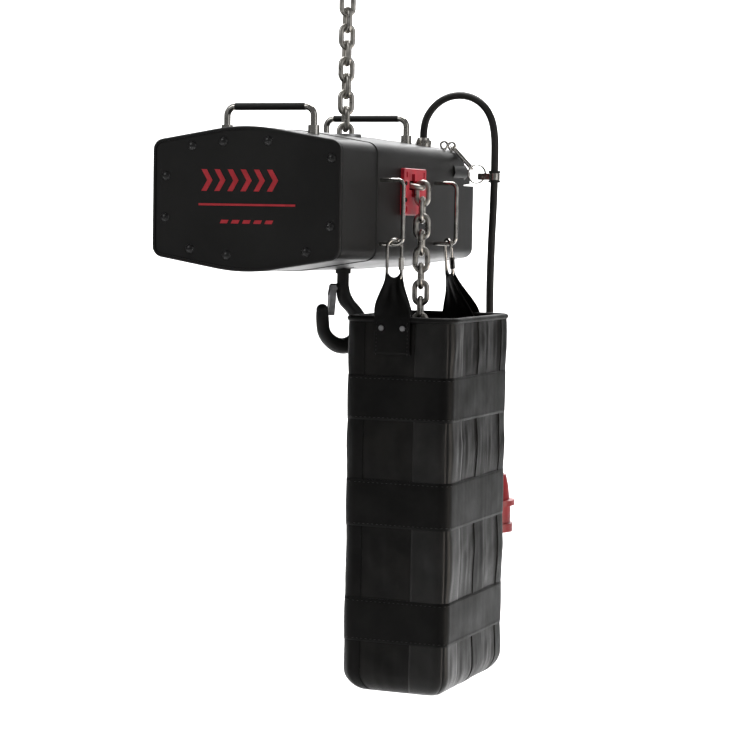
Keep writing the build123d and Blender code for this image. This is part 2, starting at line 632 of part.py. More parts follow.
REAR_TILT = 12.0
front_oval, front_sleeve = quick_link(45, 0, BRACKET_Y[0])
rear_oval, rear_sleeve = quick_link(-45, REAR_TILT, BRACKET_Y[1])
save(front_oval, "front_quick_link")
save(front_sleeve, "front_link_sleeve")
save(rear_oval, "rear_quick_link")
save(rear_sleeve, "rear_link_sleeve")

# ---------------------------------------------------------------- chain bag
BAG_T = 3.0
BAG_CORNER_R = 14.0
BAG_FOOT_R = 30.0
with BuildPart() as chain_bag:
    with BuildSketch(Plane((BAG_X, 0, up(BAG_TOP)))):
        RectangleRounded(BAG_WIDTH, BAG_DEPTH, BAG_CORNER_R)
    extrude(amount=BAG_BOTTOM - BAG_TOP)
    fillet(chain_bag.faces().sort_by(Axis.Z)[0].edges(), 13.0)
    with BuildSketch(Plane((BAG_X, 0, up(BAG_TOP)))):
        RectangleRounded(BAG_WIDTH - 2 * BAG_T, BAG_DEPTH - 2 * BAG_T, BAG_CORNER_R - BAG_T)
    extrude(amount=BAG_BOTTOM - BAG_TOP + 6, mode=Mode.SUBTRACT)
save(chain_bag.part, "chain_bag")

STRAP_X = (131.0, 142.0)
STRAP_TOP = -121.0
STRAP_FOOT = -214.0
STRAP_T = 3.0
strap_names = ("front_bag_strap", "rear_bag_strap")
for side, y, centre_x, name in zip((-1, 1), (BRACKET_Y[0], BRACKET_Y[1] + 13), STRAP_X, strap_names):
    face_y = side * (BAG_DEPTH / 2 + 0.1)
    with BuildPart() as strap:
        with BuildSketch(Plane((centre_x - 3, y, up(STRAP_TOP)))):
            Rectangle(20, 6)
        with BuildSketch(Plane((centre_x, face_y + side * STRAP_T / 2, up(BAG_TOP + 1)))):
            Rectangle(54, STRAP_T)
        loft()
        with BuildSketch(Plane((centre_x, face_y + side * STRAP_T / 2, up(BAG_TOP + 1)))):
            Rectangle(54, STRAP_T)
        extrude(amount=STRAP_FOOT - BAG_TOP - 1)
    save(strap.part, name)

with BuildPart() as bag_rivets:
    for side, centre_x in zip((-1, 1), STRAP_X):
        face_y = side * (BAG_DEPTH / 2 + 0.1 + STRAP_T)
        for x in (-16, 16):
            with BuildSketch(Plane((centre_x + x, face_y, up(-177)), z_dir=(0, side, 0))):
                Circle(4.2)
            extrude(amount=1.6, taper=20)
save(bag_rivets.part, "bag_rivets")

# ---------------------------------------------------------------- hooks
NECK = 64.0
HOOK_PATH = [(0, 38), (30, 8), (26, -24), (-2, -34), (-27, -18), (-31, 22)]
HOOK_BENDS = [18, 22, 22, 22, 22]
LATCH_PIN = (-15, 0, 54)


def hook_solid(neck, stem):
    """Hook in its own frame: neck and stem up along +Z, mouth towards -X."""
    with BuildPart() as hook:
        with BuildLine(Plane((0, 0, 0), x_dir=(1, 0, 0), z_dir=(0, -1, 0))) as path:
            FilletPolyline((0, neck), *HOOK_PATH, radius=HOOK_BENDS)
        with BuildSketch(Plane((0, 0, neck), z_dir=(0, 0, -1))):
            Circle(HOOK_R)
        sweep(path=path.wires()[0])
        with Locations((HOOK_PATH[-1][0], 0, HOOK_PATH[-1][1])):
            Sphere(HOOK_R)
        with BuildSketch(Plane.XY.offset(neck - 6)):
            Circle(11.5)
        extrude(amount=8)
        with BuildSketch(Plane.XY.offset(neck + 2)):
            Circle(HOOK_STEM_R)
        extrude(amount=stem)
        with Locations((LATCH_PIN[0] + 2, 0, LATCH_PIN[2])):
            Box(12, 5, 14)
        with Locations(LATCH_PIN):
            Cylinder(2.05, 20, rotation=(90, 0, 0), mode=Mode.SUBTRACT)
    return hook.part


def latch_solid():
    """Sheet latch in the hook's frame: a channel on its pin that closes the mouth from inside."""
    with BuildPart() as latch:
        with BuildSketch(Plane.XZ.offset(-7.5)):
            with BuildLine():
                Polyline((-19, 59), (-12, 59), (-11.6, 44), (-14, 14), (-20.8, 14), (-21.4, 24), (-21.6, 44),
                         close=True)
            make_face()
        extrude(amount=15)
        with BuildSketch(Plane.XZ.offset(-5.7)):
            with BuildLine():
                Polyline((-30, 66), (-5, 66), (-5, 10), (-18.6, 10), (-19.2, 24), (-19.4, 43), (-30, 44),
                         close=True)
            make_face()
        extrude(amount=11.4, mode=Mode.SUBTRACT)
        with Locations(LATCH_PIN):
            Cylinder(2.05, 20, rotation=(90, 0, 0), mode=Mode.SUBTRACT)
    return latch.part


def latch_pin_solid():
    """Rivet through the latch and the hook's lug."""
    with BuildPart() as pin:
        with Locations(LATCH_PIN):
            Cylinder(2.0, 17.4, rotation=(90, 0, 0))
        with Locations(*[(LATCH_PIN[0], side * 9.4, LATCH_PIN[2]) for side in (-1, 1)]):
            Cylinder(4.0, 1.6, rotation=(90, 0, 0))
    return pin.part


def nut_solid(bottom):
    """Hexagon nut on the hook's stem."""
    with BuildPart() as nut:
        with BuildSketch(Plane.XY.offset(bottom)):
            RegularPolygon(13, 6)
            Circle(HOOK_STEM_R + 0.01, mode=Mode.SUBTRACT)
        extrude(amount=11)
    return nut.part


LOAD_HOOK_H = -181.0
LOAD_TURN = 38.0
load_place = Location((0, 0, up(LOAD_HOOK_H))) * Rotation(0, 0, LOAD_TURN)
YOKE_TOP = -78.5
YOKE_BOTTOM = -97.0
LOAD_NECK = YOKE_BOTTOM - LOAD_HOOK_H - 2.3
LOAD_STEM = 32.0
TOP_STEM = 24.0
save(hook_solid(LOAD_NECK, LOAD_STEM).moved(load_place), "load_hook")
save(latch_solid().moved(load_place), "load_hook_latch")
save(latch_pin_solid().moved(load_place), "load_latch_pin")
save(nut_solid(YOKE_TOP - LOAD_HOOK_H + 0.3).moved(load_place), "load_hook_nut")

YOKE_FLANGE = -84.0
with BuildPart() as hook_yoke:
    with BuildSketch(Plane.XY.offset(up(YOKE_FLANGE))):
        Circle(YOKE_R + 6)
    extrude(amount=YOKE_TOP - YOKE_FLANGE)
    add(barrel(WALL, FRONT_SEAM, REAR_SEAM), mode=Mode.INTERSECT)
    with BuildSketch(Plane.XY.offset(up(YOKE_BOTTOM))):
        Circle(YOKE_R - 0.1)
    extrude(amount=YOKE_TOP - YOKE_BOTTOM)
    with Locations((0, 0, up(YOKE_BOTTOM - 1))):
        Cylinder(HOOK_STEM_R + RUNNING_GAP, 40, align=(Align.CENTER, Align.CENTER, Align.MIN),
                 mode=Mode.SUBTRACT)
save(hook_yoke.part, "hook_yoke")

TOP_BOWL = -HOOK_SADDLE
top_place = Location((0, 0, TOP_BOWL)) * Rotation(0, 180, 0) * Rotation(0, 0, 45)
save(hook_solid(NECK, TOP_STEM).moved(top_place), "top_hook")
save(latch_solid().moved(top_place), "top_hook_latch")
save(latch_pin_solid().moved(top_place), "top_latch_pin")
BLOCK_TOP = TOP_BOWL - NECK - 2.3
BLOCK_R = 22.0
last_link_z = up(WHEEL_H + (STRAND_LINKS - 1) * CHAIN_PITCH)
CHAIN_PIN_R = 4.5
PIN_Z = last_link_z + CHAIN_PITCH / 2 - CHAIN_PIN_R + 0.1
BLOCK_BOTTOM = PIN_Z - 12
NUT_GAP = (BLOCK_TOP - 24, BLOCK_TOP - 9)
save(nut_solid(NECK + 2.3 + 9.3).moved(top_place), "top_hook_nut")

last_turn = (0 if (STRAND_LINKS - 1) % 2 == 0 else 90) + 45.0
block_place = Location((0, 0, 0)) * Rotation(0, 0, last_turn)
with BuildPart() as block:
    with BuildSketch(Plane.XY.offset(BLOCK_BOTTOM)):
        Circle(BLOCK_R)
    extrude(amount=BLOCK_TOP - BLOCK_BOTTOM)
    chamfer(block.faces().filter_by(Axis.Z).edges(), 4.0)
    with Locations((0, 0, (NUT_GAP[0] + NUT_GAP[1]) / 2)):
        Box(60, 29, NUT_GAP[1] - NUT_GAP[0], mode=Mode.SUBTRACT)
    with Locations((0, 0, NUT_GAP[1] - 10)):
        Cylinder(HOOK_STEM_R + RUNNING_GAP, 40, align=(Align.CENTER, Align.CENTER, Align.MIN),
                 mode=Mode.SUBTRACT)
        Cylinder(HOOK_STEM_R + 1, 26, mode=Mode.SUBTRACT)
    slot_top = last_link_z + 22
    with Locations((0, 0, slot_top)):
        Box(9.6, 28, 80, align=(Align.CENTER, Align.CENTER, Align.MAX), mode=Mode.SUBTRACT)
        Box(28, 9.6, slot_top - last_link_z - 1, align=(Align.CENTER, Align.CENTER, Align.MAX),
            mode=Mode.SUBTRACT)
    with Locations((0, 0, last_link_z - 1)):
        Box(28, 9.6, 60, align=(Align.CENTER, Align.CENTER, Align.MAX), mode=Mode.SUBTRACT)
    with Locations((0, 0, PIN_Z)):
        Cylinder(CHAIN_PIN_R + 0.02, 60, rotation=(0, 90, 0), mode=Mode.SUBTRACT)
save(block.part.moved(block_place), "top_hook_block")

with BuildPart() as chain_pin:
    with Locations((0, 0, PIN_Z)):
        Cylinder(CHAIN_PIN_R, 2 * BLOCK_R - 3, rotation=(0, 90, 0))
save(chain_pin.part.moved(block_place), "chain_pin")

# ---------------------------------------------------------------- power cable and its fittings
with BuildPart() as cable_gland:
    with BuildSketch(Plane((GLAND_X, CABLE_Y, up(84)))):
        Circle(12.2)
    extrude(amount=10)
    add(barrel(0, CABLE_Y - 20, CABLE_Y + 20), mode=Mode.SUBTRACT)
    with BuildSketch(Plane((GLAND_X, CABLE_Y, up(74)))):
        Circle(8.0)
    extrude(amount=22)
    for foot, tall, radius in ((93.2, 5.8, 13.4), (76, 5, 11.6)):
        with BuildSketch(Plane((GLAND_X, CABLE_Y, up(foot)))):
            RegularPolygon(radius, 6)
        extrude(amount=tall)
    with BuildSketch(Plane((GLAND_X, CABLE_Y, up(99)))):
        Circle(10.4)
    extrude(amount=GLAND_TOP - 99, taper=14)
save(cable_gland.part, "cable_gland")

CABLE_ROUTE = [
    (41, 214, 103), (41, 214, 116.5), (46, 214, 137), (63, 214, 157.5), (87, 214, 168.5), (114, 214, 168),
    (137, 214, 156), (152.5, 214, 134.5), (158.5, 214, 105), (158.9, 214, 68), (158.5, 214, 8),
    (156, 214, -62), (155, 214, -140), (157.5, 214, -225), (162, 214, -308), (162, 214, -398),
]
route = [Vector(x, y, up(h)) for x, y, h in CABLE_ROUTE]
runs = [(b - a).length for a, b in zip(route, route[1:])]
radii = []
for index in range(1, len(route) - 1):
    turn = radians((route[index] - route[index - 1]).get_angle(route[index + 1] - route[index]))
    radii.append(0.45 * min(runs[index - 1], runs[index]) / tan(turn / 2))
print("power cable arc radii, mm:", [round(r) for r in radii])
with BuildPart() as power_cable:
    with BuildLine() as path:
        FilletPolyline(*route, radius=radii)
    with BuildSketch(Plane(route[0], z_dir=(0, 0, 1))):
        Circle(CABLE_R)
    sweep(path=path.wires()[0])
cable_length = path.wires()[0].length
print("power cable length, mm:", round(cable_length), "volume over section x length:",
      round(power_cable.part.volume / (pi * CABLE_R**2 * cable_length), 4))
save(power_cable.part, "power_cable")

PLUG_X = CABLE_ROUTE[-1][0]
PLUG_TOP = CABLE_ROUTE[-1][2]
with BuildPart() as power_plug:
    with BuildSketch(Plane((PLUG_X, CABLE_Y, BODY_Z), x_dir=(1, 0, 0), z_dir=(0, -1, 0))):
        with BuildLine():
            Polyline(
                (0, PLUG_TOP), (12, PLUG_TOP), (15, PLUG_TOP - 12), (25, PLUG_TOP - 16), (29, PLUG_TOP - 34),
                (31, -452), (39, -453), (39, -461), (33, -462), (33, -488), (36.5, -489),
                (36.5, -502), (30, -502), (30, -458), (0, -458), close=True,
            )
        make_face()
    revolve(axis=Axis((PLUG_X, CABLE_Y, BODY_Z), (0, 0, 1)))
save(power_plug.part, "power_plug")

with BuildPart() as plug_pins:
    with BuildSketch(Plane((PLUG_X, CABLE_Y, up(-458)))):
        Circle(22.0)
    extrude(amount=-8)
    with BuildSketch(Plane((PLUG_X, CABLE_Y, up(-466)))):
        with PolarLocations(14.5, 5):
            Circle(3.0)
    extrude(amount=-28)
save(plug_pins.part, "plug_pins")

with BuildPart() as eyebolts:
    for x, y in EYE_SPOTS:
        with BuildSketch(Plane((x, y, up(roof(x) - 14)))):
            Circle(EYE_SHANK_R)
        extrude(amount=14 + EYE_LIFT - EYE_R)
        with Locations(Location((x, y, up(roof(x) + EYE_LIFT)), (90, 0, 0))):
            Torus(EYE_R, 1.8)
save(eyebolts.part, "eyebolts")

RING_R = 14.0
RING_CENTRE = (130.0, 214.0, 48.0)
with BuildPart() as split_ring:
    for offset_y in (-1.1, 1.1):
        with Locations(Location((RING_CENTRE[0], RING_CENTRE[1] + offset_y, up(RING_CENTRE[2])), (90, 0, 0))):
            Torus(RING_R, 1.1)
save(split_ring.part, "split_ring")

SNAP_R = 1.9
SNAP_BEND = 6.5
hang_reach = RING_R - 1.1 - SNAP_R - 0.4
snap_start = Vector(EYE_SPOTS[1][0], EYE_SPOTS[1][1], up(roof(EYE_SPOTS[1][0]) + EYE_LIFT))
snap_end = Vector(RING_CENTRE[0] - hang_reach * sin(radians(45)), RING_CENTRE[1],
                  up(RING_CENTRE[2] + hang_reach * cos(radians(45))))
snap_long = (snap_end - snap_start).length - SNAP_BEND
snap_x = (snap_end - snap_start).normalized()
snap_plane = Plane(snap_start + snap_x * SNAP_BEND, x_dir=snap_x, z_dir=snap_x.cross(Vector(0, 1, 0)))
GATE = (5.0, 27.0)
with BuildPart() as carabiner:
    with BuildLine(snap_plane) as path:
        Line((GATE[1], -SNAP_BEND), (snap_long - SNAP_BEND, -SNAP_BEND))
        ThreePointArc((snap_long - SNAP_BEND, -SNAP_BEND), (snap_long, 0), (snap_long - SNAP_BEND, SNAP_BEND))
        Line((snap_long - SNAP_BEND, SNAP_BEND), (0, SNAP_BEND))
        ThreePointArc((0, SNAP_BEND), (-SNAP_BEND, 0), (0, -SNAP_BEND))
        Line((0, -SNAP_BEND), (GATE[0] - 0.5, -SNAP_BEND))
    wire_start = path.wires()[0] @ 0
    wire_way = path.wires()[0] % 0
    with BuildSketch(Plane(wire_start, z_dir=wire_way)):
        Circle(SNAP_R)
    sweep(path=path.wires()[0])
save(carabiner.part, "carabiner")

with BuildPart() as carabiner_gate:
    with BuildLine(snap_plane) as path:
        Line((GATE[0], -SNAP_BEND), (GATE[1] - 0.5, -SNAP_BEND))
    with BuildSketch(Plane(path.wires()[0] @ 0, z_dir=path.wires()[0] % 0)):
        Circle(SNAP_R - 0.3)
    sweep(path=path.wires()[0])
save(carabiner_gate.part, "carabiner_gate")

CLAMP_X = 158.7
CLAMP_H = 44.0
CLAMP_GAP = 0.3
with BuildPart() as cable_clamp:
    with Locations((CLAMP_X - 16.5, CABLE_Y, up(CLAMP_H))):
        Box(18, 9.2, 10)
    with Locations((CLAMP_X - 21, CABLE_Y, up(CLAMP_H))):
        Box(21, 5.2, 20, mode=Mode.SUBTRACT)
    with Locations((CLAMP_X - 20.5, CABLE_Y, up(CLAMP_H + 1))):
        Cylinder(1.8, 12, rotation=(90, 0, 0))
    with Locations((CLAMP_X - 20.5, CABLE_Y - 5.4, up(CLAMP_H + 1))):
        Cylinder(3.6, 1.8, rotation=(90, 0, 0))
    with BuildSketch(Plane((CLAMP_X, CABLE_Y, up(CLAMP_H - 5)))):
        Circle(8.6)
    extrude(amount=10)
    with BuildSketch(Plane((CLAMP_X, CABLE_Y, up(CLAMP_H - 6)))):
        Circle(7.4)
    extrude(amount=12, mode=Mode.SUBTRACT)
save(cable_clamp.part, "cable_clamp")

with BuildPart() as clamp_rubber:
    with BuildSketch(Plane((CLAMP_X, CABLE_Y, up(CLAMP_H - 8)))):
        Circle(7.35)
        Circle(CABLE_R + CLAMP_GAP, mode=Mode.SUBTRACT)
    extrude(amount=16)
    for foot in (CLAMP_H - 9, CLAMP_H + 5.5):
        with BuildSketch(Plane((CLAMP_X, CABLE_Y, up(foot)))):
            Circle(9.2)
            Circle(CABLE_R + CLAMP_GAP, mode=Mode.SUBTRACT)
        extrude(amount=3.5)
save(clamp_rubber.part, "clamp_rubber")
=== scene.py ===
"""Looks of the electric chain hoist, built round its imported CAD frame. Metres, +Z up."""
from math import cos, pi, radians, sin, sqrt

import bmesh
import bpy
from mathutils import Matrix, Vector, noise


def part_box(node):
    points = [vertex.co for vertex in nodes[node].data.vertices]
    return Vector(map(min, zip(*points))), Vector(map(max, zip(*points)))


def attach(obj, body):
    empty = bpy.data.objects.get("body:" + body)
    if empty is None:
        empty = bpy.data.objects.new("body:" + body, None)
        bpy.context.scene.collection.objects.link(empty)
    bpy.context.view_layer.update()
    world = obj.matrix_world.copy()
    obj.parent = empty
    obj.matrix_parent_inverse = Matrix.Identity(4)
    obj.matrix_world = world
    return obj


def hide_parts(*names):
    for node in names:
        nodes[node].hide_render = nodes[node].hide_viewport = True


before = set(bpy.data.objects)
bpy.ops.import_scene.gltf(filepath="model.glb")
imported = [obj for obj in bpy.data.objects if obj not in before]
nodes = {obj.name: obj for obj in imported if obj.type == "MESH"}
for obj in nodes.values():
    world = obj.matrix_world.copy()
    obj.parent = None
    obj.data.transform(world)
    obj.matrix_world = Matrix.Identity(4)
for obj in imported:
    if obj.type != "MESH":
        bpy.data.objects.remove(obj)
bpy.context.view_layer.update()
MM = 0.001
BODY_Z = -0.452


def up(height):
    """World Z, in metres, of a height in millimetres above the body's own centre line."""
    return BODY_Z + height * MM


# ---------------------------------------------------------------- camera, stage and light
CAMERA_AT = (1.2957, -3.0622, -0.4797)
YAW = radians(22.077)
PITCH = radians(-3.907)
ROLL = radians(1.018)
LENS = 107.9


def add_camera():
    """Camera at the photograph's viewing angle."""
    forward = Vector((-sin(YAW) * cos(PITCH), cos(YAW) * cos(PITCH), sin(PITCH)))
    level = Vector((cos(YAW), sin(YAW), 0))
    above = level.cross(forward)
    right = cos(ROLL) * level + sin(ROLL) * above
    top = cos(ROLL) * above - sin(ROLL) * level
    camera = bpy.data.objects.new("camera", bpy.data.cameras.new("camera"))
    bpy.context.scene.collection.objects.link(camera)
    turn = Matrix((right, top, -forward)).transposed()
    camera.matrix_world = Matrix.Translation(CAMERA_AT) @ turn.to_4x4()
    camera.data.lens = LENS
    camera.data.sensor_width = 36.0
    bpy.context.scene.camera = camera


def add_light(name, place, target, size, power, color=(1, 1, 1)):
    """Square area light aimed at a point."""
    data = bpy.data.lights.new(name, "AREA")
    data.size = size
    data.energy = power
    data.color = color
    lamp = bpy.data.objects.new(name, data)
    bpy.context.scene.collection.objects.link(lamp)
    lamp.location = place
    lamp.rotation_euler = (Vector(target) - Vector(place)).to_track_quat("-Z", "Y").to_euler()


# ---------------------------------------------------------------- materials
def new_material(name, sockets):
    """Principled material with constant values, and its tree, shader and object coordinates."""
    material = bpy.data.materials.new(name)
    material.use_nodes = True
    tree = material.node_tree
    shader = tree.nodes["Principled BSDF"]
    for socket, value in sockets.items():
        shader.inputs[socket].default_value = value
    coords = tree.nodes.new("ShaderNodeTexCoord")
    return material, tree, shader, coords.outputs["Object"]


def noise_node(tree, coords, scale, detail=4.0, stretch=(1, 1, 1)):
    """Noise texture over the object's coordinates, stretched along its axes."""
    mapping = tree.nodes.new("ShaderNodeMapping")
    mapping.inputs["Scale"].default_value = stretch
    tree.links.new(coords, mapping.inputs["Vector"])
    texture = tree.nodes.new("ShaderNodeTexNoise")
    texture.inputs["Scale"].default_value = scale
    texture.inputs["Detail"].default_value = detail
    tree.links.new(mapping.outputs["Vector"], texture.inputs["Vector"])
    return texture.outputs["Fac"]


def wave_node(tree, coords, pitch, direction, turn=0.0):
    """Even ribs of the given pitch in metres."""
    mapping = tree.nodes.new("ShaderNodeMapping")
    mapping.inputs["Rotation"].default_value = (0, 0, turn)
    tree.links.new(coords, mapping.inputs["Vector"])
    texture = tree.nodes.new("ShaderNodeTexWave")
    texture.bands_direction = direction
    texture.inputs["Scale"].default_value = 2 * pi / (20 * pitch)
    tree.links.new(mapping.outputs["Vector"], texture.inputs["Vector"])
    return texture.outputs["Fac"]


def ramp(tree, factor, dark, light, low=0.35, high=0.65):
    """Colour between dark and light by a factor."""
    node = tree.nodes.new("ShaderNodeValToRGB")
    for element, place, color in zip(node.color_ramp.elements, (low, high), (dark, light)):
        element.position = place
        element.color = (*color, 1)
    tree.links.new(factor, node.inputs["Fac"])
    return node.outputs["Color"]


def spread(tree, factor, low, high):
    """The factor mapped from 0.3-0.7 to low-high."""
    node = tree.nodes.new("ShaderNodeMapRange")
    node.inputs["From Min"].default_value = 0.3
    node.inputs["From Max"].default_value = 0.7
    node.inputs["To Min"].default_value = low
    node.inputs["To Max"].default_value = high
    tree.links.new(factor, node.inputs["Value"])
    return node.outputs["Result"]


def bump_stack(tree, shader, layers):
    """Bumps from (height, distance in metres, strength) layers, chained into the shader's normal."""
    normal = None
    for height, distance, strength in layers:
        bump = tree.nodes.new("ShaderNodeBump")
        bump.inputs["Distance"].default_value = distance
        bump.inputs["Strength"].default_value = strength
        tree.links.new(height, bump.inputs["Height"])
        if normal:
            tree.links.new(normal, bump.inputs["Normal"])
        normal = bump.outputs["Normal"]
    tree.links.new(normal, shader.inputs["Normal"])


def speckled(name, dark, light, rough, scale, grain, depth, stretch=(1, 1, 1), **sockets):
    """Material whose colour and gloss drift, with a fine grain in its surface."""
    named = {key.replace("_", " ").title().replace("Ior", "IOR"): value for key, value in sockets.items()}
    material, tree, shader, coords = new_material(name, named)
    drift = noise_node(tree, coords, scale, 5.0, stretch)
    fine = noise_node(tree, coords, grain, 3.0, stretch)
    tree.links.new(ramp(tree, drift, dark, light), shader.inputs["Base Color"])
    tree.links.new(spread(tree, drift, *rough), shader.inputs["Roughness"])
    bump_stack(tree, shader, [(fine, depth, 0.5)])
    return material


def woven(name, dark, light, rough, pitch, depth, crease=0.0, **sockets):
    """Woven cloth: crossed ribs that run level and upright on every side, with optional creases."""
    named = {key.replace("_", " ").title().replace("Ior", "IOR"): value for key, value in sockets.items()}
    material, tree, shader, coords = new_material(name, named)
    level = wave_node(tree, coords, pitch, "Z")
    upright = wave_node(tree, coords, pitch * 0.7071, "X", pi / 4)
    drift = noise_node(tree, coords, 26.0, 6.0)
    tree.links.new(ramp(tree, drift, dark, light), shader.inputs["Base Color"])
    tree.links.new(spread(tree, drift, *rough), shader.inputs["Roughness"])
    layers = [(level, depth, 0.35), (upright, depth, 0.35)]
    if crease:
        layers.insert(0, (noise_node(tree, coords, 34.0, 5.0, (1, 1, 0.35)), crease, 0.6))
        layers.insert(0, (noise_node(tree, coords, 11.0, 3.0, (1, 1, 0.6)), crease * 3, 0.5))
    bump_stack(tree, shader, layers)
    return material


MATERIALS = {
    "powder": speckled("powder_black", (0.0052, 0.0050, 0.0048), (0.0074, 0.0071, 0.0066), (0.38, 0.47), 9.0,
                       1400.0, 0.00012, specular_ior_level=0.30),
    "forged": speckled("forged_black", (0.005, 0.005, 0.005), (0.014, 0.013, 0.012), (0.36, 0.58), 60.0,
                       420.0, 0.0005, specular_ior_level=0.35),
    "chain": speckled("chain_steel", (0.34, 0.325, 0.30), (0.56, 0.54, 0.50), (0.24, 0.40), 120.0, 900.0,
                      0.0002, metallic=1.0),
    "chrome": speckled("bright_chrome", (0.38, 0.365, 0.34), (0.56, 0.54, 0.51), (0.12, 0.22), 70.0, 700.0,
                       0.00006, metallic=1.0),
    "steel": speckled("machined_steel", (0.34, 0.34, 0.34), (0.52, 0.52, 0.53), (0.28, 0.42), 90.0, 1200.0,
                      0.0001, (1, 0.1, 1), metallic=1.0),
    "iron": speckled("cast_iron", (0.05, 0.05, 0.052), (0.10, 0.10, 0.10), (0.5, 0.7), 50.0, 500.0, 0.0006,
                     metallic=0.6),
    "screw": speckled("black_oxide", (0.010, 0.010, 0.010), (0.022, 0.022, 0.022), (0.22, 0.34), 200.0, 900.0,
                      0.0001, metallic=0.3),
    # black rubber; on handle_grips the black also stands in for a painted dark reflection on the chrome
    # handle's top bar
    "rubber": speckled("black_rubber_and_dark_reflection", (0.007, 0.007, 0.007), (0.013, 0.012, 0.011), (0.5, 0.66), 80.0, 900.0,
                       0.0003, specular_ior_level=0.35),
    "cable": speckled("cable_sheath", (0.011, 0.010, 0.009), (0.019, 0.017, 0.015), (0.42, 0.55), 60.0, 800.0,
                      0.0002, specular_ior_level=0.35),
    "plastic": speckled("black_plastic", (0.010, 0.010, 0.010), (0.018, 0.018, 0.018), (0.3, 0.42), 40.0,
                        1000.0, 0.0001),
    "red": speckled("red_enamel", (0.52, 0.016, 0.034), (0.68, 0.026, 0.050), (0.30, 0.46), 55.0, 700.0,
                    0.00015, coat_weight=0.3),
    "mark": speckled("red_ink", (0.44, 0.016, 0.026), (0.54, 0.022, 0.036), (0.40, 0.50), 60.0, 900.0,
                     0.00005),
    "plug": speckled("dark_red_plastic", (0.26, 0.008, 0.012), (0.36, 0.013, 0.019), (0.32, 0.44), 45.0,
                     800.0, 0.0001),
    "insert": speckled("plug_insert", (0.03, 0.03, 0.03), (0.05, 0.05, 0.05), (0.4, 0.5), 60.0, 900.0,
                       0.0001),
    "board": speckled("circuit_board", (0.01, 0.12, 0.05), (0.02, 0.17, 0.07), (0.3, 0.45), 120.0, 900.0,
                      0.0001),
    "nylon": woven("coated_nylon", (0.0030, 0.0028, 0.0025), (0.0080, 0.0072, 0.0062), (0.30, 0.46), 0.0011,
                   0.00012, 0.0011, specular_ior_level=0.20),
    "webbing": woven("webbing", (0.0034, 0.0033, 0.0031), (0.0070, 0.0067, 0.0062), (0.36, 0.50), 0.0016,
                     0.00025, 0.0002, specular_ior_level=0.13),
    "satin": woven("satin_webbing", (0.0060, 0.0057, 0.0053), (0.0120, 0.0112, 0.0104), (0.30, 0.42), 0.0016,
                   0.00020, 0.0002, specular_ior_level=0.30),
    "thread": speckled("thread", (0.010, 0.010, 0.010), (0.022, 0.021, 0.020), (0.5, 0.6), 300.0, 1200.0,
                       0.0001),
}

NODE_FINISH = {
    "powder": "front_cover front_housing mid_housing rear_housing",
    "forged": "top_hook load_hook top_hook_block",
    "chain": "lifting_chain tail_chain wheel_chain chain_pin",
    "chrome": "handle_bars front_bag_bracket rear_bag_bracket front_quick_link front_link_sleeve "
              "rear_quick_link rear_link_sleeve cable_gland carabiner carabiner_gate split_ring cable_clamp "
              "eyebolts handle_collars",
    "steel": "tie_bolts bracket_nuts bag_rivets top_hook_nut load_hook_nut top_latch_pin load_latch_pin "
             "hook_yoke inlet_guide motor_rotor brake_disc brake_armature intermediate_gear load_wheel "
             "wheel_gear bearings electrics_plate top_hook_latch load_hook_latch",
    "iron": "motor_stator brake_coil",
    "screw": "cover_screws outlet_screws",
    # handle_grips is a black sleeve standing in for the painted dark reflection along the chrome handle's
    # top; cover_gasket and clamp_rubber are real rubber
    "rubber": "cover_gasket handle_grips clamp_rubber",
    "cable": "power_cable",
    "plastic": "contactors",
    "red": "outlet_guide",
    "nylon": "chain_bag",
    "webbing": "front_bag_strap rear_bag_strap",
    "plug": "power_plug",
    "insert": "plug_pins",
    "board": "control_board",
}


def finish_nodes():
    """Gives every CAD node its material."""
    for finish, names in NODE_FINISH.items():
        for name in names.split():
            mesh = nodes[name].data
            mesh.materials.clear()
            mesh.materials.append(MATERIALS[finish])


# ---------------------------------------------------------------- mesh helpers
def add_piece(name, data, body, finish):
    """Links a mesh or curve as a piece with its material and body."""
    piece = bpy.data.objects.new(name, data)
    bpy.context.scene.collection.objects.link(piece)
    data.materials.append(MATERIALS[finish])
    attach(piece, body)
    return piece


def grid_mesh(name, rows, closed=False, cap=False):
    """Smooth mesh through rows of points; closed joins each row's ends, and cap fills the last row."""
    mesh = bpy.data.meshes.new(name)
    shape = bmesh.new()
    lines = [[shape.verts.new(point) for point in row] for row in rows]
    wide = len(lines[0])
    steps = wide if closed else wide - 1
    for row, after in zip(lines, lines[1:]):
        for number in range(steps):
            beside = (number + 1) % wide
            shape.faces.new((row[number], row[beside], after[beside], after[number]))
    if cap:
        shape.faces.new(lines[-1])
    bmesh.ops.recalc_face_normals(shape, faces=shape.faces)
    for face in shape.faces:
        face.smooth = True
    shape.to_mesh(mesh)
    shape.free()
    return mesh


def thicken(piece, thickness, side):
    """Gives a sheet its thickness, towards side -1 or 1 of its surface."""
    modifier = piece.modifiers.new("thickness", "SOLIDIFY")
    modifier.thickness = thickness
    modifier.offset = side


def smooth_curve(name, points, radius, closed=False):
    """Round NURBS tube whose control points are the given points."""
    data = bpy.data.curves.new(name, "CURVE")
    data.dimensions = "3D"
    data.bevel_depth = radius
    data.bevel_resolution = 6
    data.resolution_u = 10
    data.use_fill_caps = True
    spline = data.splines.new("NURBS")
    spline.points.add(len(points) - 1)
    for point, place in zip(spline.points, points):
        point.co = (*place, 1)
    spline.order_u = 3
    spline.use_endpoint_u = not closed
    spline.use_cyclic_u = closed
    return data


# ---------------------------------------------------------------- power cable
CABLE_R = 0.0058
CABLE_ROUTE = [
    (41, 214, 103), (41, 214, 116.5), (46, 214, 137), (63, 214, 157.5), (87, 214, 168.5), (114, 214, 168),
    (137, 214, 156), (152.5, 214, 134.5), (158.5, 214, 105), (158.9, 214, 68), (158.5, 214, 8),
    (156, 214, -62), (155, 214, -140), (157.5, 214, -225), (162, 214, -308), (162, 214, -398),
]


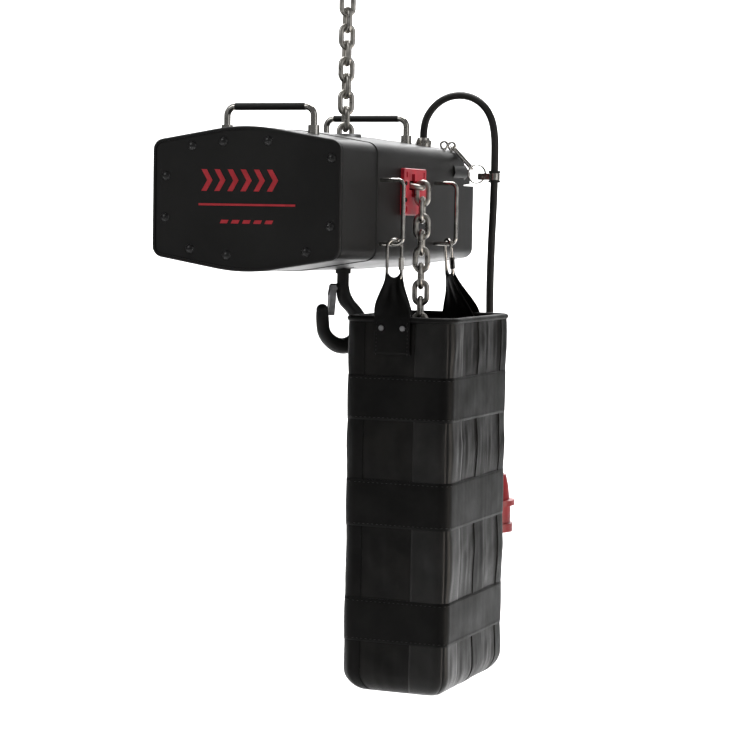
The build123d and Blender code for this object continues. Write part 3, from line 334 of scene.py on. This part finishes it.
def add_cable():
    """The power cable, from its gland over to its clamp and down to the plug."""
    route = [(x * MM, y * MM, up(h)) for x, y, h in CABLE_ROUTE]
    cable = add_piece("cable", smooth_curve("cable", route, CABLE_R), "hoist_body", "cable")
    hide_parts("power_cable")


# ---------------------------------------------------------------- chain bag
BAG_LOW, BAG_HIGH = (Vector(corner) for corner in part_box("chain_bag"))
BAG_CENTRE = (BAG_LOW + BAG_HIGH) / 2
HALF_X = BAG_HIGH.x - BAG_CENTRE.x - 0.003
HALF_Y = BAG_HIGH.y - BAG_CENTRE.y - 0.003
CORNER_R = 0.016
RIM_Z = BAG_HIGH.z - 0.002
FOOT_R = 0.034
BANDS = ((-245, -308), (-393, -460), (-563, -625))
STRAIGHT_X = 2 * (HALF_X - CORNER_R)
STRAIGHT_Y = 2 * (HALF_Y - CORNER_R)
QUARTER = CORNER_R * pi / 2
ROUND = 2 * (STRAIGHT_X + STRAIGHT_Y) + 4 * QUARTER


def outline(along):
    """Point and outward normal at a distance along the bag's plan, from the front face's left end."""
    along %= ROUND
    corners = ((1, -1), (1, 1), (-1, 1), (-1, -1))
    sides = ((1, 0), (0, 1), (-1, 0), (0, -1))
    place = Vector((-HALF_X + CORNER_R, -HALF_Y))
    for number, (way, corner) in enumerate(zip(sides, corners)):
        straight = STRAIGHT_Y if number % 2 else STRAIGHT_X
        way = Vector(way)
        normal = Vector((way.y, -way.x))
        if along <= straight:
            return place + way * along, normal
        along -= straight
        place = place + way * straight
        centre = place - normal * CORNER_R
        if along <= QUARTER:
            turn = along / CORNER_R
            normal = normal * cos(turn) + way * sin(turn)
            return centre + normal * CORNER_R, normal
        along -= QUARTER
        place = centre + way * CORNER_R
    return place, Vector((0, -1))


def slack(along, z):
    """How far the nylon stands out from, or in to, the bag's plan at a point."""
    edges = [RIM_Z] + [up(h) for band in BANDS for h in band] + [BAG_LOW.z]
    swell = 0.0
    for top, low in zip(edges[0::2], edges[1::2]):
        if low < z < top:
            swell = sin(pi * (top - z) / (top - low))
    place, normal = outline(along)
    flatness = max(abs(normal.x), abs(normal.y)) ** 12
    long = noise.noise(Vector((place.x * 14, place.y * 14, z * 5)))
    fold = noise.noise(Vector((place.x * 95, place.y * 95, z * 7 + 7)))
    crease = noise.noise(Vector((place.x * 30 + z * 24, place.y * 30 - z * 24, z * 4 + 31)))
    calm = 0.2 + 0.8 * swell
    return 0.0016 * swell * flatness + calm * (0.0028 * long + 0.0012 * fold + 0.0010 * crease)


def bag_point(along, z, offset=0.0):
    """Point of the bag's surface at a distance round it and a height, drawn in towards the foot."""
    place, normal = outline(along)
    low = BAG_LOW.z + FOOT_R - z
    inset = FOOT_R - sqrt(max(FOOT_R**2 - low**2, 0)) if low > 0 else 0.0
    narrow = Vector((place.x * (HALF_X - inset) / HALF_X, place.y * (HALF_Y - inset) / HALF_Y))
    out = slack(along, z) + offset
    return Vector((BAG_CENTRE.x + narrow.x + normal.x * out, BAG_CENTRE.y + narrow.y + normal.y * out, z))


AROUND = 240
DOWN = 170


def add_bag():
    """The open nylon bag, a sagging shell with a rolled rim."""
    tall = RIM_Z - BAG_LOW.z
    rows = []
    for row in range(DOWN + 1):
        z = RIM_Z - tall * row / DOWN
        rows.append([bag_point(ROUND * number / AROUND, z) for number in range(AROUND)])
    for inset in (0.35, 0.6, 0.85):
        ring = []
        for point in rows[DOWN]:
            drawn = BAG_CENTRE.lerp(point, 1 - inset)
            sag = noise.noise(drawn * 30) * 0.002
            ring.append((drawn.x, drawn.y, BAG_LOW.z + 0.001 + sag))
        rows.append(ring)
    bag = add_piece("bag", grid_mesh("bag", rows, closed=True, cap=True), "slack_bag", "nylon")
    thicken(bag, 0.0016, -1)
    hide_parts("chain_bag")
    rim = [bag_point(ROUND * number / 64, RIM_Z - 0.001, 0.0005) for number in range(64)]
    tube = smooth_curve("bag_rim", rim, 0.0042, closed=True)
    add_piece("bag_rim", tube, "slack_bag", "webbing")


def add_stitches(name, places):
    """One row of stitches: small tapered threads from (start, end, outward normal) triples."""
    mesh = bpy.data.meshes.new(name)
    shape = bmesh.new()
    for start, end, out in places:
        way = end - start
        side = way.cross(out).normalized() * 0.00035
        lift = out.normalized() * 0.0005
        middle = (start + end) / 2
        ring = [shape.verts.new(middle + shift) for shift in (side, lift, -side, -lift)]
        tips = [shape.verts.new(start), shape.verts.new(end)]
        for tip in tips:
            for number in range(4):
                shape.faces.new((ring[number], ring[(number + 1) % 4], tip))
    bmesh.ops.recalc_face_normals(shape, faces=shape.faces)
    shape.to_mesh(mesh)
    shape.free()
    return add_piece(name, mesh, "slack_bag", "thread")


def normal_at(along):
    """Outward normal of the bag at a distance round it, as a 3-D vector."""
    normal = outline(along)[1]
    return Vector((normal.x, normal.y, 0))


WEB_T = 0.0016
STITCH = 0.0046


def add_bands():
    """Level webbing bands round the bag, each stitched along both edges."""
    for number, (top, low) in enumerate(BANDS, start=1):
        rows = []
        for step in range(17):
            share = step / 16
            z = up(top + (low - top) * share)
            crown = 0.0012 + 0.0006 * sin(pi * share)
            rows.append([bag_point(ROUND * turn / AROUND, z, crown) for turn in range(AROUND)])
        name = f"band_{number}"
        band = add_piece(name, grid_mesh(name, rows, closed=True), "slack_bag", "webbing")
        thicken(band, WEB_T, -1)
        stitches = []
        for h in (top - 4, low + 4):
            for turn in range(int(ROUND / (STITCH * 1.5))):
                along = turn * STITCH * 1.5
                start = bag_point(along, up(h), 0.0017)
                stitches.append((start, bag_point(along + STITCH, up(h), 0.0017), normal_at(along)))
        add_stitches(f"band_{number}_stitches", stitches)


FRONT_START = BAG_CENTRE.x - HALF_X + CORNER_R
SIDE_START = STRAIGHT_X + QUARTER - (BAG_CENTRE.y - HALF_Y + CORNER_R)
BACK_START = SIDE_START + BAG_CENTRE.y + HALF_Y - CORNER_R + QUARTER + BAG_CENTRE.x + HALF_X - CORNER_R
INNER_START = BACK_START - BAG_CENTRE.x + HALF_X - CORNER_R + QUARTER + BAG_CENTRE.y + HALF_Y - CORNER_R
UPRIGHTS = {
    "front_left": (0.074 - FRONT_START, 0.030),
    "front_right": (0.189 - FRONT_START, 0.050),
    "side_front": (SIDE_START - 0.098, 0.046),
    "side_middle": (SIDE_START + 0.008, 0.044),
    "side_rear": (SIDE_START + 0.104, 0.036),
    "back_outer": (BACK_START - 0.189, 0.050),
    "back_inner": (BACK_START - 0.087, 0.050),
    "inner_rear": (INNER_START - 0.098, 0.046),
    "inner_middle": (INNER_START - 0.008, 0.044),
    "inner_front": (INNER_START + 0.098, 0.046),
}
SATIN = ("side_front", "front_right", "back_inner", "inner_middle")


def add_uprights():
    """Upright webbing straps down the bag's sides, under the level bands."""
    for label, (centre, wide) in UPRIGHTS.items():
        rows = []
        for row in range(DOWN + 1):
            z = RIM_Z - (RIM_Z - BAG_LOW.z - 0.004) * row / DOWN
            span = [centre + wide * (step / 14 - 0.5) for step in range(15)]
            rows.append([bag_point(along, z, 0.0007) for along in span])
        finish = "satin" if label in SATIN else "webbing"
        piece = add_piece(label, grid_mesh(label, rows), "slack_bag", finish)
        thicken(piece, 0.0012, -1)


STRAP_TOP_W = 0.023
STRAP_FOOT_W = 0.054
STRAP_FOOT_Z = up(-214)
LINK_BEND = 0.011
LOOP_R = 0.0050


def add_strap(name, node, side, wire_at, turn, rim_x):
    """A webbing strap looped through a quick link, spread over the rim and riveted down the bag's face."""
    wire = Vector(wire_at)
    face = BAG_CENTRE.y + side * (HALF_Y + 0.0042)
    rim = Vector((rim_x, face, RIM_Z + 0.004))
    inside = Vector((rim_x, face - side * 0.0125, RIM_Z - 0.012))
    link_way = Vector((cos(turn), sin(turn), 0))
    rows = []

    def add_row(centre, wide, loose):
        line = []
        for number in range(25):
            across = number / 24 - 0.5
            way = link_way.lerp(Vector((1, 0, 0)), 1 - loose).normalized()
            reach = min(abs(across * wide), 0.95 * LINK_BEND)
            rise = loose * (LINK_BEND - sqrt(LINK_BEND**2 - reach**2))
            pleat = 0.0012 * sin(pi * (1 - loose)) * cos(across * 5 * pi)
            line.append(centre + way * across * wide + Vector((0, side * pleat, rise)))
        rows.append(line)

    back = wire - Vector((0, side * LOOP_R, 0))
    front = wire + Vector((0, side * LOOP_R, 0))
    for step in range(15):
        share = step / 14
        ease = share * share * (3 - 2 * share)
        add_row(inside.lerp(back, share), STRAP_FOOT_W + (STRAP_TOP_W - STRAP_FOOT_W) * ease, share)
    for step in range(1, 9):
        angle = pi * (1 - step / 9)
        add_row(wire + Vector((0, side * LOOP_R * cos(angle), LOOP_R * sin(angle))), STRAP_TOP_W, 1.0)
    for step in range(21):
        share = step / 20
        ease = share * share * (3 - 2 * share)
        bow = Vector((0, side * 0.003 * sin(pi * share), 0))
        add_row(front.lerp(rim, share) + bow, STRAP_TOP_W + (STRAP_FOOT_W - STRAP_TOP_W) * ease, 1 - share)
    for step in range(1, 15):
        share = step / 14
        down = rim.z + (STRAP_FOOT_Z - rim.z) * share
        add_row(Vector((rim_x, face + side * 0.0004, down)), STRAP_FOOT_W, 0.0)
    strap = add_piece(name, grid_mesh(name, rows), "slack_bag", "webbing")
    thicken(strap, 0.0020, 0)
    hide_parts(node)
    stitches = []
    for x in (rim_x - 0.0235, rim_x + 0.0235):
        for number in range(9):
            start = Vector((x, face + side * 0.0018, rim.z - 0.008 - number * 0.0055))
            stitches.append((start, start + Vector((0, 0, -0.0036)), Vector((0, side, 0))))
    add_stitches(f"{name}_stitches", stitches)


# ---------------------------------------------------------------- hook forgings
# (across, height, radius) in millimetres, from the neck round the bowl to the tip
HOOK_SHAPE = (
    (0, 56, 9.6), (2, 38, 9.4), (29, 9, 11.4), (26, -23, 13.4), (-2, -35, 11.8), (-27, -18, 10.2),
    (-31, 6, 9.7), (-31, 19, 9.3),
)


def add_forging(name, body, place):
    """The swollen back and bowl of a forged hook, round its CAD wire, tapered towards the tip."""
    points = [place @ Vector((x * MM, 0, z * MM)) for x, z, radius in HOOK_SHAPE]
    data = smooth_curve(name, points, MM)
    for point, (x, z, radius) in zip(data.splines[0].points, HOOK_SHAPE):
        point.radius = radius
    add_piece(name, data, body, "forged")


# ---------------------------------------------------------------- cover marking
PANEL_Y = -0.2544
MARK_T = 0.0004
BODY_X = -0.041


def add_marks():
    """Plain red chevrons, a stripe and a row of dashes on the cover, in place of any lettering."""
    mesh = bpy.data.meshes.new("cover_marks")
    shape = bmesh.new()
    bars = [(-71, -9.6, 147, 3.0, 0.0)]
    for number in range(6):
        bars.append((-58 + number * 20, 25.5, 8, 15, -9.0))
        bars.append((-67 + number * 20, 10.5, 8, 15, 9.0))
    bars += [(-38 + number * 17, -34, 11, 5.0, 2.5) for number in range(5)]
    for x, h, long, tall, slant in bars:
        near = [(x, h), (x + long, h), (x + long + slant, h + tall), (x + slant, h + tall)]
        front = [shape.verts.new((BODY_X + px * MM, PANEL_Y - MARK_T, up(ph))) for px, ph in near]
        back = [shape.verts.new((BODY_X + px * MM, PANEL_Y + 0.0002, up(ph))) for px, ph in near]
        shape.faces.new(front)
        shape.faces.new(back[::-1])
        for number in range(4):
            beside = (number + 1) % 4
            shape.faces.new((front[number], back[number], back[beside], front[beside]))
    bmesh.ops.recalc_face_normals(shape, faces=shape.faces)
    shape.to_mesh(mesh)
    shape.free()
    add_piece("cover_marks", mesh, "hoist_body", "mark")


# ---------------------------------------------------------------- stage
FLOOR_Z = -1.42
CURVE_START = 3.0
CURVE_R = 1.6
BACKDROP_HALF = 2.6
BACKDROP_X = -1.7


def add_stage():
    """Pale floor that curves up into a plain backdrop."""
    rows = []
    profile = [(-6.0, 0.0, 8.0), (CURVE_START, 0.0, 8.0), (CURVE_START + 0.01, 0.0, BACKDROP_HALF)]
    for step in range(1, 13):
        turn = pi * step / 24
        far = CURVE_START + CURVE_R * sin(turn)
        profile.append((far, CURVE_R * (1 - cos(turn)), BACKDROP_HALF))
    profile.append((CURVE_START + CURVE_R, 6.0, BACKDROP_HALF))
    for far, high, half in profile:
        middle = BACKDROP_X if half == BACKDROP_HALF else 0.0
        rows.append([(middle + half * share, far, FLOOR_Z + high) for share in (-1, -0.3, 0.3, 1)])
    stage = bpy.data.objects.new("stage", grid_mesh("stage", rows))
    bpy.context.scene.collection.objects.link(stage)
    pale = speckled("pale_stage", (0.86, 0.86, 0.86), (0.89, 0.89, 0.89), (0.7, 0.8), 2.0, 60.0, 0.0001)
    stage.data.materials.append(pale)


def add_world():
    """Even white surroundings."""
    world = bpy.data.worlds.new("studio")
    world.use_nodes = True
    world.node_tree.nodes["Background"].inputs["Color"].default_value = (1, 1, 1, 1)
    world.node_tree.nodes["Background"].inputs["Strength"].default_value = 0.19
    bpy.context.scene.world = world
    bpy.context.scene.view_settings.view_transform = "Standard"


add_camera()
add_cable()
finish_nodes()
add_bag()
add_bands()
add_uprights()
add_strap("front_strap", "front_bag_strap", -1, (0.1250, -0.111, up(-111.7)), pi / 4, 0.131)
add_strap("rear_strap", "rear_bag_strap", 1, (0.1250, 0.1170, up(-110.5)), -pi / 4, 0.142)
upper_turn = Matrix.Rotation(pi, 4, "Y") @ Matrix.Rotation(pi / 4, 4, "Z")
lower_turn = Matrix.Rotation(radians(38), 4, "Z")
add_forging("upper_forging", "upper_hook", Matrix.Translation((0, 0, -0.0227)) @ upper_turn)
add_forging("lower_forging", "lower_hook", Matrix.Translation((0, 0, up(-181))) @ lower_turn)
add_marks()
add_stage()
add_world()
add_light("key", (-1.6, -2.4, 1.3), (0, 0, -0.5), 1.6, 22)
add_light("fill", (2.6, -0.6, 0.2), (0.1, 0, -0.6), 1.8, 9)
add_light("low", (1.9, 0.2, -1.25), (0.1, 0, -0.5), 0.7, 8, (1.0, 0.88, 0.76))
add_light("back", (-0.6, 2.4, 1.4), (0, 0, -0.5), 1.6, 12)
add_light("backdrop", (-1.4, 1.4, 2.2), (-1.8, 4.4, 0.0), 2.6, 330)
add_light("floor", (-0.4, 1.2, 2.6), (-0.8, 2.4, -1.4), 2.6, 150)
